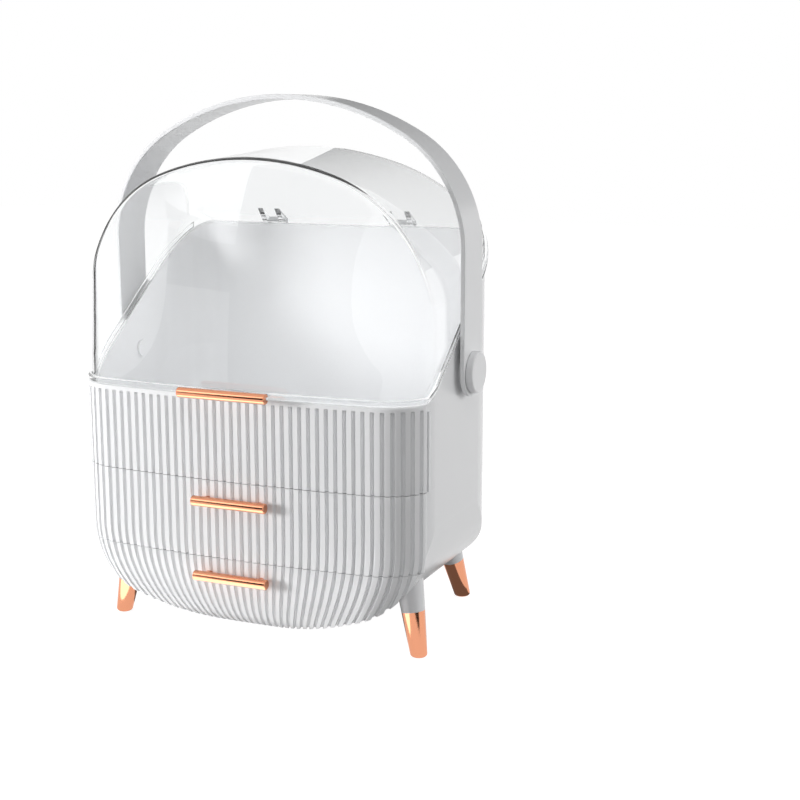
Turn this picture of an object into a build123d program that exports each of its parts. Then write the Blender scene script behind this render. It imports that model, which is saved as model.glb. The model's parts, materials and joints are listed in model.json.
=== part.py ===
from build123d import *
import os
from math import asin, copysign, cos, pi, radians, sin, sqrt, tan

os.makedirs("parts", exist_ok=True)

# Makeup organizer: a clear flip-up hood over a white tub, two ribbed drawers in a round-bottomed
# cabinet on four splayed legs, and a carry handle on side pivots.
# The origin is on the floor, below the middle of the object. The front faces -Y. Millimetres.

# Body outline from above
body_width = 280.0
side_front_y = -58.0
corner_start_y = -46.0
side_back_y = 39.0
rear_sweep_radius = 69.0
back_y = 87.0
rear_corner_radius = 25.0
front_depth = 41.0
front_corner_radius = 36.0

# Body outline from the front
belly_z = 16.0
belly_radius = 274.0
belly_corner_radius = 69.0
crown_radius = 210.0
shoulder_radius = 105.0
hood_front_crown_z = 358.5
hood_back_crown_z = 365.0

# Body outline from the side
hood_crown_y = 39.0
rear_bottom_radius = 30.0
hinge_z = 302.0
rim_z = 191.0
tub_seam_z = 128.5
drawer_seam_z = 70.0

# Ribbed front
rib_pitch = 6.7
rib_depth = 1.8
rib_top_margin = 5.0
rib_draw_in = 0.28
bow_fade_z = 65.0
bottom_bow = 5.0
lower_slices = 6

# Walls and clearances
wall = 3.0
hood_wall = 2.2
tray_wall = 2.0
front_skin = 2.5
seam_gap = 0.5
slide_gap = 0.3
tray_gap = 3.0
fit_gap = 0.2
shaft_clearance = 0.05
hood_gap = 0.4

# Hood flange, tab and pull
flange_reach = 2.5
flange_height = 4.5
flange_rear_margin = 9.0
hood_fade_z = 385.0
hood_crown_depth = 10.0
hood_crown_corner_radius = 6.0
hood_slices = 6
tab_width = 60.0
tab_thickness = 2.6
tab_drop = 1.6
hood_pull_y = -101.5
hood_pull_length = 70.8

# Hood hinges
hinge_offset = 56.5
hinge_width = 19.5
ear_width = 4.4
knuckle_radius = 3.0
hinge_pin_radius = 1.2
hinge_setback = 3.4
hinge_rise = 1.0
web_drop = 14.0

# Shelf and tub floor
shelf_thickness = 2.0
shelf_rise = 0.4
ledge_width = 12.0
ledge_thickness = 3.0
lip_width = 12.0
lip_thickness = 5.0
rail_offset = 60.0
rail_width = 6.0
tub_screw_inset = 10.0
tub_screw_front_y = -40.0
tub_screw_back_y = 50.0

# Drawer pulls and screws
pull_radius = 3.75
pull_edge_radius = 0.8
pull_y = -95.5
pull_length = 60.0
pull_post_offset = 22.0
pull_post_radius = 2.5
upper_pull_z = 113.6
lower_pull_z = 57.1
tray_headroom = 8.0
front_screw_offset = 80.0
upper_screw_z = 97.0
lower_screw_z = 50.0
boss_radius = 4.0
screw_radius = 1.5
screw_head_radius = 3.0
screw_head_height = 1.6
screw_bite = 6.0

# Carry handle
handle_rise = 37.5
handle_gap = 3.5
handle_crown_radius = 196.0
handle_shoulder_radius = 96.0
handle_width = 36.0
handle_thickness = 3.5
handle_edge_radius = 0.8
pivot_y = 9.0
pivot_z = 203.6
pivot_boss_radius = 11.0
pivot_pin_radius = 5.0
pivot_pin_grip = 3.0
cap_radius = 15.5
cap_thickness = 5.0
cap_edge_radius = 1.5

# Legs: places of the foot tips, inwards from the sides, and how far the legs lean out
front_foot_inset = 12.6
front_foot_y = -44.8
rear_foot_inset = 32.0
rear_foot_y = 95.9
side_lean = 10.0
front_lean = 4.5
rear_lean = 15.0
foot_radius = 6.2
foot_edge_radius = 2.5
leg_taper = 0.075
leg_cap_height = 34.0
leg_length = 62.0
leg_shoulder_radius = 5.0
leg_plug_radius = 4.5
leg_plug_depth = 22.0
leg_tenon_radius = 5.0

# Sizes that follow from the ones above
reach = 2 * hood_back_crown_z
half_body = body_width / 2
front_bow = front_depth - corner_start_y + side_front_y
corner_bow = front_depth - front_bow
corner_x = half_body - front_corner_radius
front_half = corner_x + sqrt(front_corner_radius**2 - corner_bow**2)
tub_screw_x = half_body - tub_screw_inset
front_foot_x = half_body - front_foot_inset
rear_foot_x = half_body - rear_foot_inset
shelf_z = drawer_seam_z + shelf_rise
shelf_top_z = shelf_z + shelf_thickness
tub_floor_z = tub_seam_z + wall
cabinet_front_y = side_front_y + hood_gap
hinge_y = back_y + hinge_setback
hinge_axis_z = hinge_z + hinge_rise
handle_inner_x = half_body + handle_gap
handle_half_width = handle_inner_x + handle_thickness
handle_crown_z = hood_back_crown_z + handle_rise
cap_inner_x = handle_half_width + slide_gap


def flip(point):
    """The point mirrored from the right side to the left."""
    return (-point[0], point[1])


def arch_points(half_width, crown_z, big_radius, small_radius, up=1):
    """Right half of a three-centred arch: side, shoulder, joint and crown. It hangs with up -1."""
    centre_x = half_width - small_radius
    span = big_radius - small_radius
    centre_z = crown_z - up * (big_radius - sqrt(span**2 - centre_x**2))
    joint_angle = asin(centre_x / span)
    points = []
    for angle in (pi / 2, (pi / 2 + joint_angle) / 2, joint_angle):
        points.append((centre_x + small_radius * sin(angle), centre_z + up * small_radius * cos(angle)))
    return points + [(0, crown_z)]


def draw_arch(side, shoulder, joint, crown):
    """Arcs from the right side of an arch over its crown to the left side."""
    ThreePointArc(side, shoulder, joint)
    ThreePointArc(joint, crown, flip(joint))
    ThreePointArc(flip(joint), flip(shoulder), flip(side))


def front_view(inset=0.0, y=0.0, crown_z=hood_back_crown_z):
    """Whole body seen from the front, its outline moved inwards by inset."""
    half = half_body - inset
    top = arch_points(half, crown_z - inset, crown_radius - inset, shoulder_radius - inset)
    low = arch_points(half, belly_z + inset, belly_radius - inset, belly_corner_radius - inset, up=-1)
    with BuildSketch(Plane.XZ.offset(-y)) as view:
        with BuildLine():
            draw_arch(*top)
            draw_arch(*low)
            Line(low[0], top[0])
            Line(flip(low[0]), flip(top[0]))
        make_face()
    return view.sketch


def bow_radius(depth, corner_radius):
    """Radius of the front's middle arc, for its depth ahead of the sides and its corners' radius."""
    side_run = half_body - corner_radius
    return (depth**2 - corner_radius**2 + side_run**2) / (2 * (depth - corner_radius))


def plan_view(inset=0.0, z=0.0, depth=front_depth, corner_radius=front_corner_radius):
    """Body seen from above: bowed front with round corners, flat sides that sweep in to a flat back."""
    half = half_body - inset
    back = back_y - inset
    big_radius = bow_radius(depth, corner_radius) - inset
    front = arch_points(half, corner_start_y - depth + inset, big_radius, corner_radius - inset, up=-1)
    sweep = rear_sweep_radius - inset
    sweep_x = half_body - rear_sweep_radius
    end_angle = asin((back - side_back_y) / sweep)
    middle = (sweep_x + sweep * cos(end_angle / 2), side_back_y + sweep * sin(end_angle / 2))
    end = (sweep_x + sweep * cos(end_angle), back)
    with BuildSketch(Plane.XY.offset(z)) as view:
        with BuildLine():
            draw_arch(*front)
            Line(front[0], (half, side_back_y))
            ThreePointArc((half, side_back_y), middle, end)
            Line(end, flip(end))
            ThreePointArc(flip(end), flip(middle), (-half, side_back_y))
            Line((-half, side_back_y), flip(front[0]))
        make_face()
        fillet(view.vertices().sort_by(Axis.Y)[-2:], radius=rear_corner_radius - inset)
    return view.sketch


def side_view(inset=0.0):
    """Body seen from the side: square but for the rounded bottom at the back."""
    low = belly_z + inset
    back = back_y - inset
    with BuildSketch(Plane.YZ) as view:
        with BuildLine():
            Polyline((-reach, low), (back, low), (back, reach), (-reach, reach), close=True)
        make_face()
        corner = view.vertices().sort_by(Axis.Y)[-2:].sort_by(Axis.Z)[0]
        fillet(corner, radius=rear_bottom_radius - inset)
    return view.sketch


def parting_view(lift=0.0):
    """What lies below the line between tub and hood, seen from the side, raised by lift."""
    with BuildSketch(Plane.YZ) as view:
        with BuildLine():
            Polyline(
                (-reach, -reach),
                (-reach, rim_z + lift),
                (side_front_y, rim_z + lift),
                (back_y, hinge_z + lift),
                (reach, hinge_z + lift),
                (reach, -reach),
                close=True,
            )
        make_face()
    return view.sketch


def body_block(inset=0.0):
    """Outer form of the white body, with every face moved inwards by inset."""
    with BuildPart() as block:
        extrude(plan_view(inset), amount=hood_back_crown_z)
        extrude(front_view(inset), amount=reach, both=True, mode=Mode.INTERSECT)
        extrude(side_view(inset), amount=reach, both=True, mode=Mode.INTERSECT)
    return block.part


def open_block(inset):
    """The body's form moved inwards by inset and carried on past the front."""
    with BuildPart() as block:
        add(body_block(inset))
        extrude(front_view(inset, side_back_y), amount=reach)
    return block.part


def fade(z):
    """How far z lies down the rounded foot of the front, from 0 to 1."""
    return min(1.0, max(0.0, (bow_fade_z - z) / (bow_fade_z - belly_z)))


def bow_at(z):
    """Bulge of the front at height z: full above, drawn back in a quarter ellipse below."""
    return bottom_bow + (front_bow - bottom_bow) * sqrt(1 - fade(z) ** 2)


def spread_at(z):
    """How far the ribs spread at height z, as a share of the full width."""
    draw_start_z = belly_z + belly_corner_radius
    drop = max(0.0, (draw_start_z - z) / belly_corner_radius)
    return 1 - rib_draw_in * drop**2


middle_radius = bow_radius(front_depth, front_corner_radius)
middle_turn = asin(corner_x / (middle_radius - front_corner_radius))
middle_length = middle_radius * middle_turn
joint_x = middle_radius * sin(middle_turn)
corner_length = front_corner_radius * (pi / 2 - middle_turn - asin(corner_bow / front_corner_radius))
rib_count = round(2 * (middle_length + corner_length) / rib_pitch)


def front_x(share):
    """Place across the front at a share, from -1 to 1, of the curve from its middle to its side."""
    length = abs(share) * (middle_length + corner_length)
    if length < middle_length:
        return copysign(middle_radius * sin(length / middle_radius), share)
    angle = middle_turn + (length - middle_length) / front_corner_radius
    return copysign(corner_x + front_corner_radius * sin(angle), share)


def front_y(x, z, inset=0.0):
    """Place of the smooth front surface behind the ribs."""
    half = front_half * spread_at(z) - inset
    full_x = min(1, abs(x) / half) * front_half
    if full_x < joint_x:
        depth = front_depth - middle_radius + sqrt(middle_radius**2 - full_x**2)
    else:
        depth = sqrt(front_corner_radius**2 - (full_x - corner_x) ** 2)
    return side_front_y - (bow_at(z) - inset) * (depth - corner_bow) / front_bow


def rib_edge(z):
    """Scalloped front edge at height z, one arc for each rib. A narrower rib is shallower too."""
    for rib in range(rib_count):
        places = [front_x(2 * (rib + step) / rib_count - 1) * spread_at(z) for step in (0, 0.5, 1)]
        left, middle, right = [Vector(x, front_y(x, z)) for x in places]
        chord = (right - left) / rib_pitch
        peak = middle + rib_depth * Vector(chord.Y, -chord.X)
        ThreePointArc(left, peak, right)


def smooth_edge(z, inset):
    """Smooth front edge at height z: two corners and the bow between them."""
    half = front_half * spread_at(z) - inset
    side = (half, side_front_y)
    shoulder = (1 + middle_length / (middle_length + corner_length)) / 2
    places = [half * x / front_half for x in (front_x(shoulder), joint_x, 0)]
    draw_arch(side, *[(x, front_y(x, z, inset)) for x in places])


def front_slice(z, inset=0.0, ribbed=True):
    """Slice of the bowed front at height z, closed behind the sides' front edges and wider than they."""
    half = front_half * spread_at(z) - (0 if ribbed else inset)
    side = half_body + wall
    with BuildSketch(Plane.XY.offset(z)) as view:
        with BuildLine():
            if ribbed:
                rib_edge(z)
            else:
                smooth_edge(z, inset)
            rear_y = side_front_y + front_skin
            Polyline((half, side_front_y), (side, side_front_y), (side, rear_y), (-side, rear_y))
            Polyline((-side, rear_y), (-side, side_front_y), (-half, side_front_y))
        make_face()
    return view.sketch


def front_block(levels, inset=0.0, ribbed=True):
    """Bowed front between the first and last of the levels, inside the body's outline."""
    with BuildPart() as block:
        loft([front_slice(z, inset, ribbed) for z in levels], ruled=True)
        extrude(front_view(inset), amount=reach, both=True, mode=Mode.INTERSECT)
    return block.part


def hood_slice(z, inset):
    """Slice of the hood at height z, whose front leans back and squares up towards the crown."""
    climb = max(0.0, (z - rim_z) / (hood_fade_z - rim_z))
    depth = hood_crown_depth + (front_depth - hood_crown_depth) * (1 - climb**2)
    spare_radius = front_corner_radius - hood_crown_corner_radius
    return plan_view(inset, z, depth, hood_crown_corner_radius + spare_radius * (1 - climb) ** 2)


def hood_block(inset=0.0):
    """Outer form of the hood, with every face moved inwards by inset."""
    low = rim_z - flange_height
    high = hood_fade_z - flange_height
    levels = [low + (high - low) * step / hood_slices for step in range(hood_slices + 1)]
    rise = (hood_back_crown_z - hood_front_crown_z) / (hood_crown_y - side_front_y)
    arches = []
    for y in (side_front_y - 2 * front_bow, back_y + front_bow):
        arches.append(front_view(inset, y, hood_back_crown_z + rise * (y - hood_crown_y)))
    rear_normal = (0, hood_back_crown_z - hinge_z, back_y - hood_crown_y)
    rear_face = Plane(origin=(0, back_y, hinge_z), x_dir=(1, 0, 0), z_dir=rear_normal)
    with BuildPart() as block:
        loft([hood_slice(z, inset) for z in levels])
        loft(arches, ruled=True, mode=Mode.INTERSECT)
        split(bisect_by=rear_face.offset(-inset), keep=Keep.BOTTOM)
    return block.part


def across(x):
    """Plane square to X at the given place, facing outwards, with Y and Z as its axes."""
    return Plane.YZ.offset(x)


outer_form = body_block()

# Upper tub: ribbed front band, floor, sides with sloped rims and a high back
hinge_profile = [
    (back_y - wall / 2, hinge_z - web_drop),
    (back_y - wall / 2, hinge_z - hinge_rise),
    (hinge_y, hinge_axis_z),
    (hinge_y + knuckle_radius, hinge_axis_z),
]
with BuildPart() as tub_cavity:
    add(body_block(wall))
    split(bisect_by=Plane.XY.offset(tub_floor_z), keep=Keep.TOP)

with BuildPart() as upper_tub:
    add(outer_form)
    split(bisect_by=Plane.XY.offset(tub_seam_z), keep=Keep.TOP)
    add(front_block([tub_seam_z, rim_z - rib_top_margin]))
    add(tub_cavity.part, mode=Mode.SUBTRACT)
    extrude(parting_view(), amount=reach, both=True, mode=Mode.INTERSECT)
    for side in (-1, 1):
        middle_width = hinge_width - 2 * ear_width - 2 * slide_gap
        with BuildSketch(across(side * hinge_offset - middle_width / 2)):
            with BuildLine():
                Polyline(*hinge_profile, close=True)
            make_face()
            with Locations((hinge_y, hinge_axis_z)):
                Circle(knuckle_radius)
                Circle(hinge_pin_radius + shaft_clearance, mode=Mode.SUBTRACT)
        extrude(amount=middle_width)
        with BuildSketch(across(side * (half_body - wall / 2))):
            with Locations((pivot_y, pivot_z)):
                Circle(pivot_boss_radius)
        extrude(amount=side * (handle_inner_x - slide_gap - half_body + wall / 2))
        with BuildSketch(across(side * (half_body - 2 * wall))):
            with Locations((pivot_y, pivot_z)):
                Circle(pivot_pin_radius + shaft_clearance)
        extrude(amount=side * (handle_inner_x - half_body + 2 * wall), mode=Mode.SUBTRACT)
    for screw_y in (tub_screw_front_y, tub_screw_back_y):
        for side in (-1, 1):
            with Locations((side * tub_screw_x, screw_y, tub_floor_z)):
                CounterBoreHole(
                    radius=screw_radius + shaft_clearance,
                    counter_bore_radius=screw_head_radius + fit_gap,
                    counter_bore_depth=screw_head_height,
                    depth=2 * wall,
                )
upper_tub.part.label = "upper_tub"
export_step(upper_tub.part, "parts/upper_tub.step")

# Screws through the tub floor into the cabinet's lips
with BuildPart() as tub_screws:
    for screw_y in (tub_screw_front_y, tub_screw_back_y):
        for side in (-1, 1):
            with BuildSketch(Plane.XY.offset(tub_floor_z - screw_head_height)):
                with Locations((side * tub_screw_x, screw_y)):
                    Circle(screw_head_radius)
            extrude(amount=screw_head_height)
            with BuildSketch(Plane.XY.offset(tub_seam_z - lip_thickness + fit_gap)):
                with Locations((side * tub_screw_x, screw_y)):
                    Circle(screw_radius)
            extrude(amount=lip_thickness + wall - screw_head_height - fit_gap)
tub_screws.part.label = "tub_screws"
export_step(tub_screws.part, "parts/tub_screws.step")

# Lower cabinet: round-bottomed housing, open at the front and the top
with BuildPart() as cabinet_cavity:
    add(body_block(wall))
    for side in (-1, 1):
        with Locations((side * rail_offset, 0, belly_z)):
            Box(rail_width, reach, 2 * belly_z, mode=Mode.SUBTRACT)
    add(open_block(wall + tray_gap - slide_gap))
    for side in (-1, 1):
        ledge_x = side * (half_body - wall)
        with Locations((ledge_x, 0, shelf_z - ledge_thickness / 2)):
            Box(2 * ledge_width, reach, ledge_thickness, mode=Mode.SUBTRACT)
        with Locations((ledge_x, 0, tub_seam_z - lip_thickness / 2)):
            Box(2 * lip_width, reach, lip_thickness, mode=Mode.SUBTRACT)

with BuildPart() as lower_cabinet:
    add(outer_form)
    split(bisect_by=Plane.XY.offset(tub_seam_z), keep=Keep.BOTTOM)
    split(bisect_by=Plane.XZ.offset(-cabinet_front_y), keep=Keep.BOTTOM)
    add(cabinet_cavity.part, mode=Mode.SUBTRACT)
    for screw_y in (tub_screw_front_y, tub_screw_back_y):
        for side in (-1, 1):
            with Locations((side * tub_screw_x, screw_y, tub_seam_z)):
                Hole(radius=screw_radius + shaft_clearance, depth=lip_thickness)


def leg_plane(foot_x, foot_y, side_slope, end_slope):
    """Plane at a foot's tip, square to a leg that leans towards +X and +Y by the two slopes."""
    return Plane(origin=(foot_x, foot_y, 0), x_dir=(1, 0, 0), z_dir=(side_slope, end_slope, 1))


inward = tan(radians(side_lean))
backward = tan(radians(front_lean))
forward = -tan(radians(rear_lean))
legs = {
    "front_left": leg_plane(-front_foot_x, front_foot_y, inward, backward),
    "front_right": leg_plane(front_foot_x, front_foot_y, -inward, backward),
    "rear_left": leg_plane(-rear_foot_x, rear_foot_y, inward, forward),
    "rear_right": leg_plane(rear_foot_x, rear_foot_y, -inward, forward),
}

with BuildPart() as leg_sockets:
    for plane in legs.values():
        with BuildSketch(plane.offset(leg_cap_height)):
            Circle(leg_tenon_radius + shaft_clearance)
        extrude(amount=leg_length)

with BuildPart() as tenon_space:
    add(outer_form)
    add(body_block(wall + fit_gap), mode=Mode.SUBTRACT)

lower_cabinet.part -= leg_sockets.part & tenon_space.part
lower_cabinet.part.label = "lower_cabinet"
export_step(lower_cabinet.part, "parts/lower_cabinet.step")

# Legs: white tapered shanks with a tenon in the cabinet's floor and a plug for the cap
for name, plane in legs.items():
    top_radius = foot_radius + leg_taper * leg_length
    cap_top_radius = foot_radius + leg_taper * leg_cap_height
    with BuildPart() as tenon:
        with BuildSketch(plane.offset(leg_cap_height)):
            Circle(leg_tenon_radius)
        extrude(amount=leg_length)
        add(tenon_space.part, mode=Mode.INTERSECT)
    with BuildPart() as leg:
        with BuildSketch(plane.offset(leg_cap_height)):
            Circle(cap_top_radius)
        with BuildSketch(plane.offset(leg_length)):
            Circle(top_radius)
        loft()
        fillet(leg.faces().sort_by(Axis.Z)[-1].edges(), radius=leg_shoulder_radius)
        add(outer_form, mode=Mode.SUBTRACT)
        add(tenon.part)
        with BuildSketch(plane.offset(leg_cap_height - leg_plug_depth)):
            Circle(leg_plug_radius)
        extrude(amount=leg_plug_depth + leg_taper)
    leg.part.label = f"leg_{name}"
    export_step(leg.part, f"parts/leg_{name}.step")

    # Metal cap over the lower end, with its tip flat on the floor
    with BuildPart() as leg_cap:
        with BuildSketch(plane.offset(-foot_radius)):
            Circle(foot_radius - leg_taper * foot_radius)
        with BuildSketch(plane.offset(leg_cap_height)):
            Circle(cap_top_radius)
        loft()
        split(bisect_by=Plane.XY, keep=Keep.TOP)
        fillet(leg_cap.faces().sort_by(Axis.Z)[0].edges(), radius=foot_edge_radius)
        with BuildSketch(plane.offset(leg_cap_height - leg_plug_depth - fit_gap)):
            Circle(leg_plug_radius + shaft_clearance)
        extrude(amount=leg_plug_depth + 2 * fit_gap, mode=Mode.SUBTRACT)
    leg_cap.part.label = f"leg_cap_{name}"
    export_step(leg_cap.part, f"parts/leg_cap_{name}.step")

# Middle shelf between the drawers, resting on the cabinet's ledges
with BuildPart() as middle_shelf:
    add(body_block(wall + fit_gap))
    split(bisect_by=Plane.XY.offset(shelf_z), keep=Keep.TOP)
    split(bisect_by=Plane.XY.offset(shelf_top_z), keep=Keep.BOTTOM)
    split(bisect_by=Plane.XZ.offset(-cabinet_front_y), keep=Keep.BOTTOM)
middle_shelf.part.label = "middle_shelf"
export_step(middle_shelf.part, "parts/middle_shelf.step")

# Drawers: heights of the front, levels of its slices, and heights of the tray
upper_low_z = drawer_seam_z + seam_gap / 2
upper_high_z = tub_seam_z - seam_gap
lower_high_z = drawer_seam_z - seam_gap / 2
foot_height = bow_fade_z - belly_z
foot_levels = [bow_fade_z - foot_height * sin(pi / 2 * step / lower_slices) for step in range(lower_slices)]
drawers = {
    "drawer_1": {
        "levels": [upper_high_z, (upper_high_z + upper_low_z) / 2, upper_low_z],
        "tray_low": shelf_top_z + slide_gap,
        "tray_high": upper_high_z - tray_headroom,
        "pull_z": upper_pull_z,
        "screw_z": upper_screw_z,
    },
    "drawer_2": {
        "levels": [lower_high_z] + foot_levels + [belly_z - wall],
        "tray_low": 0.0,
        "tray_high": shelf_z - ledge_thickness - slide_gap,
        "pull_z": lower_pull_z,
        "screw_z": lower_screw_z,
    },
}

for name, drawer in drawers.items():
    levels = drawer["levels"]
    front_screw_z = drawer["screw_z"]
    screw_places = [(side * front_screw_offset, front_screw_z) for side in (-1, 1)]
    post_places = [(side * pull_post_offset, drawer["pull_z"]) for side in (-1, 1)]
    plate_y = side_front_y - front_skin
    post_end_y = front_y(pull_post_offset, drawer["pull_z"], front_skin) - fit_gap

    # Room inside the hollow front, and the plate of the tray that closes it
    with BuildPart() as front_room:
        add(front_block(levels, front_skin, ribbed=False))
        split(bisect_by=Plane.XY.offset(levels[0] - front_skin), keep=Keep.BOTTOM)
        split(bisect_by=Plane.XY.offset(levels[-1] + front_skin), keep=Keep.TOP)

    with BuildPart() as front_plate:
        add(front_block(levels, front_skin + fit_gap, ribbed=False))
        split(bisect_by=Plane.XY.offset(levels[0] - front_skin - fit_gap), keep=Keep.BOTTOM)
        split(bisect_by=Plane.XY.offset(levels[-1] + front_skin + fit_gap), keep=Keep.TOP)
        split(bisect_by=Plane.XZ.offset(-plate_y), keep=Keep.BOTTOM)
        split(bisect_by=Plane.XZ.offset(-side_front_y), keep=Keep.TOP)

    # Ribbed front with bosses for the screws of the tray
    with BuildPart() as drawer_front:
        add(front_block(levels))
        split(bisect_by=Plane.XZ.offset(-side_front_y), keep=Keep.TOP)
        add(front_room.part, mode=Mode.SUBTRACT)
        boss_front_y = front_y(front_screw_offset, front_screw_z, front_skin / 2)
        with BuildSketch(Plane.XZ.offset(-plate_y + fit_gap)):
            with Locations(*screw_places):
                Circle(boss_radius)
        extrude(amount=plate_y - fit_gap - boss_front_y)
        with BuildSketch(Plane.XZ.offset(-plate_y)):
            with Locations(*screw_places):
                Circle(screw_radius + shaft_clearance)
        extrude(amount=screw_bite, mode=Mode.SUBTRACT)
        with BuildSketch(Plane.XZ.offset(-side_front_y)):
            with Locations(*post_places):
                Circle(pull_post_radius + shaft_clearance)
        extrude(amount=2 * front_bow, mode=Mode.SUBTRACT)
    drawer_front.part.label = f"{name}_front"
    export_step(drawer_front.part, f"parts/{name}_front.step")

    # Tray behind the front
    with BuildPart() as tray_cavity:
        add(open_block(wall + tray_gap + tray_wall))
        split(bisect_by=Plane.XY.offset(drawer["tray_low"] + tray_wall), keep=Keep.TOP)
        split(bisect_by=Plane.XZ.offset(-side_front_y), keep=Keep.BOTTOM)

    with BuildPart() as drawer_tray:
        add(open_block(wall + tray_gap))
        split(bisect_by=Plane.XY.offset(drawer["tray_low"]), keep=Keep.TOP)
        split(bisect_by=Plane.XY.offset(drawer["tray_high"]), keep=Keep.BOTTOM)
        split(bisect_by=Plane.XZ.offset(-side_front_y), keep=Keep.BOTTOM)
        add(tray_cavity.part, mode=Mode.SUBTRACT)
        add(front_plate.part)
        with BuildSketch(Plane.XZ.offset(-side_front_y)):
            with Locations(*screw_places):
                Circle(screw_radius + shaft_clearance)
        extrude(amount=2 * front_skin, mode=Mode.SUBTRACT)
    drawer_tray.part.label = f"{name}_tray"
    export_step(drawer_tray.part, f"parts/{name}_tray.step")

    # Screws from the tray into the front's bosses
    with BuildPart() as front_screws:
        with BuildSketch(Plane.XZ.offset(-side_front_y - screw_head_height)):
            with Locations(*screw_places):
                Circle(screw_head_radius)
        extrude(amount=screw_head_height)
        with BuildSketch(Plane.XZ.offset(-side_front_y)):
            with Locations(*screw_places):
                Circle(screw_radius)
        extrude(amount=front_skin + screw_bite - fit_gap)
    front_screws.part.label = f"{name}_front_screws"
    export_step(front_screws.part, f"parts/{name}_front_screws.step")

    # Round pull bar on two posts through the front's skin
    with BuildPart() as drawer_pull:
        with BuildSketch(across(-pull_length / 2)):
            with Locations((pull_y, drawer["pull_z"])):
                Circle(pull_radius)
        extrude(amount=pull_length)
        fillet(drawer_pull.edges().filter_by(GeomType.CIRCLE), radius=pull_edge_radius)
        with BuildSketch(Plane.XZ.offset(-post_end_y)):
            with Locations(*post_places):
                Circle(pull_post_radius)
        extrude(amount=post_end_y - pull_y)
        with BuildSketch(Plane.XZ.offset(-post_end_y)):
            with Locations(*post_places):
                Circle(screw_radius + shaft_clearance)
        extrude(amount=screw_bite, mode=Mode.SUBTRACT)
    drawer_pull.part.label = f"{name}_pull"
    export_step(drawer_pull.part, f"parts/{name}_pull.step")

    # Screws from inside the front into the posts
    with BuildPart() as pull_screws:
        head_edge_x = pull_post_offset + screw_head_radius
        head_y = front_y(head_edge_x, drawer["pull_z"] - screw_head_radius, front_skin) + fit_gap
        with BuildSketch(Plane.XZ.offset(-head_y - screw_head_height)):
            with Locations(*post_places):
                Circle(screw_head_radius)
        extrude(amount=screw_head_height)
        with BuildSketch(Plane.XZ.offset(-head_y)):
            with Locations(*post_places):
                Circle(screw_radius)
        extrude(amount=screw_bite)
    pull_screws.part.label = f"{name}_pull_screws"
    export_step(pull_screws.part, f"parts/{name}_pull_screws.step")

# Clear hood with a flange along its lower edge, a tab in front and two pairs of hinge ears
slope_length = sqrt((back_y - hood_crown_y) ** 2 + (hood_back_crown_z - hinge_z) ** 2)
slope_up = ((hood_crown_y - back_y) / slope_length, (hood_back_crown_z - hinge_z) / slope_length)
ear_profile = [
    (hinge_y, hinge_axis_z),
    (hinge_y, hinge_axis_z + knuckle_radius),
    (back_y + slope_up[0] * web_drop - hinge_rise, hinge_z + slope_up[1] * web_drop),
    (back_y - hood_wall, hinge_z + hinge_rise),
]
tab_z = rim_z + hood_gap + tab_drop
with BuildPart() as hood_flange:
    extrude(plan_view(-flange_reach, rim_z), amount=hinge_z)
    extrude(front_view(-2 * flange_reach), amount=reach, both=True, mode=Mode.INTERSECT)
    extrude(parting_view(hood_gap + flange_height), amount=reach, both=True, mode=Mode.INTERSECT)
    split(bisect_by=Plane.XZ.offset(flange_rear_margin - back_y), keep=Keep.TOP)

with BuildPart() as hood:
    add(hood_block())
    add(hood_flange.part)
    add(hood_block(hood_wall), mode=Mode.SUBTRACT)
    extrude(parting_view(hood_gap), amount=reach, both=True, mode=Mode.SUBTRACT)
    tab_front_y = hood_pull_y + fit_gap
    tab_back_y = side_front_y - front_bow - flange_reach / 2
    with Locations((0, (tab_front_y + tab_back_y) / 2, tab_z + tab_thickness / 2)):
        Box(tab_width, tab_back_y - tab_front_y, tab_thickness)
    for side in (-1, 1):
        for end in (-1, 1):
            ear_x = side * hinge_offset + end * (hinge_width - ear_width) / 2
            with BuildSketch(across(ear_x - ear_width / 2)):
                with BuildLine():
                    Polyline(*ear_profile, close=True)
                make_face()
                with Locations((hinge_y, hinge_axis_z)):
                    Circle(knuckle_radius)
                    Circle(hinge_pin_radius + shaft_clearance, mode=Mode.SUBTRACT)
            extrude(amount=ear_width)
hood.part.label = "hood"
export_step(hood.part, "parts/hood.step")

# Round pull bar of the hood, slotted for the tab
with BuildPart() as hood_pull:
    bar_z = tab_z + tab_thickness / 2
    with BuildSketch(across(-hood_pull_length / 2)):
        with Locations((hood_pull_y, bar_z)):
            Circle(pull_radius)
    extrude(amount=hood_pull_length)
    fillet(hood_pull.edges().filter_by(GeomType.CIRCLE), radius=pull_edge_radius)
    with Locations((0, hood_pull_y + pull_radius, bar_z)):
        slot_height = tab_thickness + 2 * shaft_clearance
        Box(reach, 2 * pull_radius, slot_height, mode=Mode.SUBTRACT)
hood_pull.part.label = "hood_pull"
export_step(hood_pull.part, "parts/hood_pull.step")

# Hinge pins of the hood
with BuildPart() as hinge_pins:
    for side in (-1, 1):
        with BuildSketch(across(side * hinge_offset - hinge_width / 2)):
            with Locations((hinge_y, hinge_axis_z)):
                Circle(hinge_pin_radius)
        extrude(amount=hinge_width)
hinge_pins.part.label = "hinge_pins"
export_step(hinge_pins.part, "parts/hinge_pins.step")

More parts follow.
